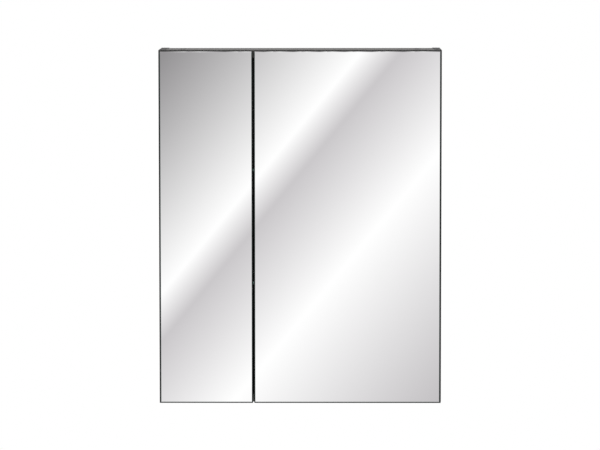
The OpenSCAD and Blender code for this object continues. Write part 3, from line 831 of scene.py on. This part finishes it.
# ---- Screws and cam fittings: each stamped head faces +z, with its crown at the origin ----

CORE_SHARE = 0.74               # a thread's root radius, as a share of its crest's
SCREW_TURN = 37                 # degrees by which each screw stands turned from the last


def recess_blades(size, depth):
    """The cutters for a cross recess: two tapered blades, and two thin ones for the ticks
    between them."""
    cross, tick = (size, size / 4.2, depth), (size * 0.52, size / 12, depth * 0.4)
    blades = []
    for turn, (length, width, reach) in ((0, cross), (90, cross), (45, tick), (135, tick)):
        bm = bmesh.new()
        spin = Matrix.Rotation(math.radians(turn), 4, "Z")
        loft(bm, *([bm.verts.new(spin @ Vector((sx * length / 2 * share, sy * width / 2, z)))
                    for sx, sy in ((1, 1), (-1, 1), (-1, -1), (1, -1))]
                   for z, share in ((-reach, 0.45), (depth, 1.5))))
        blades.append(as_object("blade", bm))
    return blades


def recessed(bm, size, depth):
    """Cuts a cross recess into the crown of a head made in bm. bm is used up."""
    head = as_object("head", bm)
    made = cut_out(head, recess_blades(size, depth))
    bmesh.ops.dissolve_limit(made, angle_limit=CUT_FLAT, verts=made.verts, edges=made.edges)
    return made


def thread(radius, start, length, pitch=1.1 * MM, tip=True):
    """A screw's shank as profile points from its end up to start, with ridges, and with a cone at
    the end if it has a tip."""
    core = radius * CORE_SHARE
    end = start - length
    points = [(0, end), (0.15 * radius if tip else core, end)]
    height = end + (3 * radius if tip else 0.4 * MM)
    while height < start - pitch:
        points += [(core, height), (radius, height + 0.35 * pitch), (radius, height + 0.45 * pitch)]
        height += pitch
    return points + [(core, height), (core, start)]


def countersunk(head_r, head_h, shank_r, length, recess):
    """A countersunk screw. Its sizes are in millimetres."""
    head_r, head_h, shank_r, length, recess = (
        size * MM for size in (head_r, head_h, shank_r, length, recess))
    bm = bmesh.new()
    lathe(bm, Matrix(),
          (*thread(shank_r, -head_h, length - head_h), (head_r - 0.1 * MM, -0.25 * MM),
           (head_r, -0.15 * MM), (head_r, -0.05 * MM), (head_r - 0.1 * MM, 0), (0, 0)), 40)
    return as_mesh("countersunk", recessed(bm, recess, 0.75 * head_h))


def pan_head(head_r, head_h, shank_r, length, recess, tip=True):
    """A screw with a low round head. Its sizes are in millimetres."""
    head_r, head_h, shank_r, length, recess = (
        size * MM for size in (head_r, head_h, shank_r, length, recess))
    bm = bmesh.new()
    lathe(bm, Matrix(),
          (*thread(shank_r, -head_h, length - head_h, tip=tip), (head_r - 0.15 * MM, -head_h),
           (head_r, -0.85 * head_h), (head_r, -0.5 * head_h), (0.93 * head_r, -0.22 * head_h),
           (0.75 * head_r, -0.05 * head_h), (0.5 * head_r, 0), (0, 0)), 40)
    return as_mesh("pan_head", recessed(bm, recess, 0.6 * head_h))


def screws():
    """Every screw with a cross recess, at its CAD solid's place, each turned by its own angle.
    A screw with no direction of its own faces into the cabinet."""
    kinds = (
        ("back_panel_screws", "board_screws", Y, ZINC, countersunk(3.2, 1.6, 1.5, 18, 3.4)),
        ("hinge_plate_screws", "plate_screws", None, ZINC, pan_head(3.8, 2, 2, 16, 4.2)),
        ("hinge_arm_screws", "arm_screws", None, ZINC, pan_head(4, 2.2, 1.85, 11, 4.4, False)),
        ("cup_screws_left", "ear_screws_left", Y, ZINC, pan_head(3.5, 1.4, 1.75, 13, 3.8)),
        ("cup_screws_right", "ear_screws_right", Y, ZINC, pan_head(3.5, 1.4, 1.75, 13, 3.8)),
        ("hanger_screws", "adjusting_screws", -Y, NICKEL,
         pan_head(3.6, 2.2, 2.45, 10.8, 4.4, False)),
    )
    for name, new_name, outward, material, shape in kinds:
        bm = bmesh.new()
        for i, (low, high) in enumerate(solids(name)):
            out = outward or X * (-1 if middle(low, high).x > 0 else 1)
            crown = middle(low, high) + out * abs((high - low).dot(out)) / 2
            stamp(bm, shape, facing(crown, out, turn=SCREW_TURN * i % 90))
        bpy.data.meshes.remove(shape)
        piece(new_name, bm, [name], [material])


BOLT_IN_SIDE = 10.8 * MM        # how much of a cam bolt is in the side panel
DISC_SUNK = 0.45 * MM           # how far a cam disc's face is set into its housing


def cam_fittings():
    """Cam housings with a rounded rim, the die-cast discs set a little into them, and the bolts."""
    housing_bm, disc_bm, bolt_bm = bmesh.new(), bmesh.new(), bmesh.new()
    disc = bmesh.new()
    lathe(disc, Matrix(), in_mm(((0, -11), (4.9, -11), (4.9, -0.3), (4.6, 0), (0, 0))), 56)
    disc = as_mesh("disc", recessed(disc, 7 * MM, 1.8 * MM))
    top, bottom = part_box("top_panel")[1].z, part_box("bottom_panel")[0].z
    for i, (low, high) in enumerate(solids("cam_housings")):
        up = Z if abs(high.z - top) < abs(low.z - bottom) else -Z
        radius, depth = (high.x - low.x) / 2, high.z - low.z
        crown = middle(low, high) + up * depth / 2
        lathe(housing_bm, facing(crown, up),
              ((0, -depth), (radius - 0.3 * MM, -depth), (radius, 0.3 * MM - depth),
               (radius, -0.35 * MM), (radius - 0.1 * MM, -0.1 * MM), (radius - 0.35 * MM, 0),
               (5.4 * MM, 0), (5.1 * MM, -0.3 * MM), (5.02 * MM, 0.9 * MM - depth),
               (0, 0.9 * MM - depth)), 64)
        stamp(disc_bm, disc, facing(crown - up * DISC_SUNK, up, turn=25 + 31 * i % 60))
    for low, high in solids("cam_bolts"):
        inward = X * (1 if low.x < 0 else -1)
        tip = Vector((low.x if low.x < 0 else high.x, (low.y + high.y) / 2, (low.z + high.z) / 2))
        length = high.x - low.x
        shank = [(r, h + BOLT_IN_SIDE)
                 for r, h in thread(2.45 * MM, 0, BOLT_IN_SIDE, 1.6 * MM, tip=False)]
        collar = BOLT_IN_SIDE + 2 * MM
        lathe(bolt_bm, facing(tip, inward),
              (*shank, (3.3 * MM, BOLT_IN_SIDE), (3.3 * MM, collar), (1.8 * MM, collar),
               (1.8 * MM, length - 3.5 * MM), (2.7 * MM, length - 3.5 * MM),
               (3.3 * MM, length - 2.9 * MM), (3.3 * MM, length - 0.8 * MM),
               (2.6 * MM, length), (0, length)), 32)
    bpy.data.meshes.remove(disc)
    piece("cam_cases", housing_bm, ["cam_housings"], [NYLON])
    piece("cam_locks", disc_bm, ["cam_discs"], [ZINC])
    piece("cam_pins", bolt_bm, ["cam_bolts"], [ZINC])


# ---- Dowels, small turned pieces and fittings ----

FLUTES = 18
FLUTE_DEPTH = 0.3 * MM
POINTS_PER_FLUTE = 6
DOWEL_EDGE = 0.5 * MM


def dowels():
    """Fluted dowels with rounded ends."""
    bm = bmesh.new()
    for low, high in solids("wood_dowels"):
        radius = (high.z - low.z) / 2
        count = FLUTES * POINTS_PER_FLUTE
        outline = []
        for i in range(count):
            angle = 2 * math.pi * i / count
            r = radius - FLUTE_DEPTH * max(0.0, math.cos(FLUTES * angle)) ** 2
            outline.append((r * math.cos(angle), r * math.sin(angle)))
        end = Vector((low.x, (low.y + high.y) / 2, (low.z + high.z) / 2))
        prism(bm, facing(end, X), outline, 0, high.x - low.x)
    soften(bm, DOWEL_EDGE, crease=60)
    piece("fluted_dowels", bm, ["wood_dowels"], [BEECH])


def access_caps():
    """The caps inside the cabinet, over the holes that the hangers' screws are reached through."""
    caps = bmesh.new()
    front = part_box("back_panel")[0].y
    for low, high in solids("hanger_hole_caps"):
        centre = middle(low, high)
        lathe(caps, facing(Vector((centre.x, front, centre.z)), -Y),
              in_mm(((0, -2.8), (4.6, -2.8), (4.97, -2.4), (4.97, 0), (7, 0), (7, 0.35),
                     (6.75, 0.7), (6.2, 0.93), (5.4, 1), (2.4, 1), (2.1, 0.8), (0, 0.8))), 56)
    piece("access_caps", caps, ["hanger_hole_caps"], [NYLON])


def bumpers_and_pins():
    """The domed bumpers on the doors' backs, and the hinge pins."""
    for side in SIDES:
        bumpers, pins = bmesh.new(), bmesh.new()
        for low, high in solids("door_bumpers_" + side):
            centre, radius, height = middle(low, high), (high.x - low.x) / 2, high.y - low.y
            dome = [(radius * math.sin(a) ** 0.7, height * (0.35 + 0.65 * math.cos(a)))
                    for a in (math.pi / 2 * (1 - i / 8) for i in range(8))]
            lathe(bumpers, facing(Vector((centre.x, low.y, centre.z)), Y),
                  ((0, 0), (radius, 0), *dome, (0, height)), 40)
        piece("bumper_pads_" + side, bumpers, ["door_bumpers_" + side], [RUBBER])
        for low, high in solids("hinge_pins_" + side):
            centre, radius, height = middle(low, high), (high.x - low.x) / 2, high.z - low.z
            edge = 0.3 * MM
            lathe(pins, facing(Vector((centre.x, centre.y, low.z)), Z),
                  ((0, 0), (radius - edge, 0), (radius, edge), (radius, height - edge),
                   (radius - edge, height), (0, height)), 32)
        piece("pivot_pins_" + side, pins, ["hinge_pins_" + side], [ZINC])


def sheet_metal():
    """Pressed and die-cast fittings keep the frame's shapes, with their edges rounded off."""
    for side in SIDES:
        refined("hanger_housing_" + side, ZINC, 0.4 * MM)
        refined("hanger_block_" + side, ZINC, 0.5 * MM)
        refined("hanger_hook_" + side, ZINC, 0.35 * MM)
        refined("wall_plate_" + side, ZINC, 0.4 * MM)
        for level in LEVELS:
            refined(f"hinge_plate_{level}_{side}", NICKEL, 0.3 * MM)
            refined(f"hinge_arm_{level}_{side}", NICKEL, 0.25 * MM)
            refined(f"hinge_cup_{level}_{side}", NICKEL, 0.2 * MM)


side_boards()
flat_boards()
door_boards()
carcass_bands()
door_bands()
back_board()
mirrors()
shelves()
shelf_supports()
shelf_pads()
screws()
cam_fittings()
dowels()
access_caps()
bumpers_and_pins()
sheet_metal()


# ---- Stage: camera, surroundings, floor and lights ----

CAMERA_DISTANCE = 6.94          # from the mirrors' faces
CAMERA_HEIGHT = 0.3             # above the wall screws' centre
CAMERA_SIDE = 0.055             # to the right of the cabinet's middle
CAMERA_PITCH = 5.001            # degrees down
CAMERA_YAW = 0.4524             # degrees to the left
CAMERA_ROLL = 0.033             # degrees clockwise
CAMERA_LENS = 197.4
SENSOR = 36


def make_camera():
    lens = bpy.data.cameras.new("view")
    lens.sensor_width = SENSOR
    lens.lens = CAMERA_LENS
    camera = bpy.data.objects.new("view", lens)
    camera.location = (CAMERA_SIDE, CAD_BOX[0][1] - CAMERA_DISTANCE, CAMERA_HEIGHT)
    camera.rotation_euler = [math.radians(angle)
                             for angle in (90 - CAMERA_PITCH, CAMERA_ROLL, CAMERA_YAW)]
    bpy.context.scene.collection.objects.link(camera)
    bpy.context.scene.camera = camera


# The studio that the mirrors show: soft slanting bands from grey to white.
# Each step is (place across the bands, how light it looks from 0 to 1).
BAND_STEPS = ((-0.024, 0.576), (0.0477, 1.0), (0.0621, 0.786), (0.1068, 1.0), (0.1827, 0.757),
              (0.2394, 0.576))
BAND_SLANT = 1.2
GREY_BELOW, GREY_TINT = 0.8, 0.012      # bands darker than this have less green by that share
MIRROR_KEEPS = 0.92             # the share of light that a mirror sends back
DISPLAY_POWER = 2.2             # from how light a band looks to how much light it gives
SURROUND = 0.8
WHITE = (1, 1, 1, 1)


def make_world():
    """White behind the cabinet, bands for what the mirrors show, and an even light for the rest."""
    world = bpy.data.worlds.new("studio")
    world.use_nodes = True
    bpy.context.scene.world = world
    tree = world.node_tree
    tree.nodes.clear()
    direction = node(tree, "ShaderNodeSeparateXYZ",
                     {0: node(tree, "ShaderNodeTexCoord").outputs["Generated"]}).outputs
    azimuth = calc(tree, "ARCTAN2", direction[0], scaled(tree, direction[1], -1.0))
    height = calc(tree, "ARCSINE", direction[2])
    across = calc(tree, "SUBTRACT", scaled(tree, azimuth, BAND_SLANT), height)
    first, period = BAND_STEPS[0][0], BAND_STEPS[-1][0] - BAND_STEPS[0][0]
    place = calc(tree, "DIVIDE", calc(tree, "SUBTRACT", across, first), period)
    ramp = node(tree, "ShaderNodeValToRGB", {0: calc(tree, "FRACT", place)})
    stops = ramp.color_ramp.elements
    while len(stops) < len(BAND_STEPS):
        stops.new(0.5)
    for stop, (step, light) in zip(stops, BAND_STEPS):
        stop.position = (step - first) / period
        stop.color = (light, light * (1 - GREY_TINT * (light < GREY_BELOW)), light, 1)
    display = node(tree, "ShaderNodeGamma", {"Color": ramp.outputs[0], "Gamma": DISPLAY_POWER})
    bands = node(tree, "ShaderNodeBackground", {0: display.outputs[0], 1: 1 / MIRROR_KEEPS})
    plain = node(tree, "ShaderNodeBackground", {0: WHITE, 1: SURROUND})
    white = node(tree, "ShaderNodeBackground", {0: WHITE, 1: 1.0})
    path = node(tree, "ShaderNodeLightPath").outputs
    lit = mix_shaders(tree, path["Is Glossy Ray"], plain, bands)
    seen = mix_shaders(tree, path["Is Camera Ray"], lit, white)
    node(tree, "ShaderNodeOutputWorld", {0: seen.outputs[0]})


FLOOR_DROP = 0.66               # below the cabinet's foot
FLOOR_HALF = 4.0
POOL_INNER, POOL_OUTER = 0.8, 2.4       # the floor fades to white between these radii


def make_floor():
    """A plain pale floor below the cabinet, which fades into the white around it."""
    z = CAD_BOX[0][2] - FLOOR_DROP
    corners = [(x * FLOOR_HALF, y * FLOOR_HALF, z) for x, y in ((-1, -1), (1, -1), (1, 1), (-1, 1))]
    mesh = bpy.data.meshes.new("floor")
    mesh.from_pydata(corners, [], [(0, 1, 2, 3)])
    floor = bpy.data.objects.new("floor", mesh)
    bpy.context.scene.collection.objects.link(floor)
    made, tree, shader = new_material("pale_floor", Base_Color=(0.9, 0.9, 0.9, 1), Roughness=0.9)
    flat = node(tree, "ShaderNodeVectorMath", {0: coords(tree), 1: (1, 1, 0)},
                operation="MULTIPLY").outputs[0]
    away = node(tree, "ShaderNodeVectorMath", {0: flat}, operation="LENGTH").outputs["Value"]
    fade = node(tree, "ShaderNodeMapRange",
                {"Value": away, "From Min": POOL_INNER, "From Max": POOL_OUTER},
                interpolation_type="SMOOTHERSTEP").outputs[0]
    white = node(tree, "ShaderNodeEmission", {0: WHITE, 1: 1.0})
    both = mix_shaders(tree, fade, shader, white)
    tree.links.new(both.outputs[0], tree.nodes["Material Output"].inputs[0])
    mesh.materials.append(made)
    floor.visible_glossy = False


LAMPS_AIM = (0, 0, -0.3)


def soft_light(name, place, size, watts):
    """A round lamp that the mirrors don't show."""
    lamp = bpy.data.lights.new(name, "AREA")
    lamp.shape = "DISK"
    lamp.size = size
    lamp.energy = watts
    light = bpy.data.objects.new(name, lamp)
    light.location = place
    light.rotation_euler = (Vector(LAMPS_AIM) - Vector(place)).to_track_quat("-Z", "Y").to_euler()
    light.visible_glossy = False
    bpy.context.scene.collection.objects.link(light)


bpy.context.scene.view_settings.view_transform = "Standard"
make_camera()
make_world()
make_floor()
soft_light("key_light", place=(-1.6, -3.0, 2.2), size=1.6, watts=40)
soft_light("front_light", place=(0.34, -6.8, 0.5), size=0.25, watts=330)
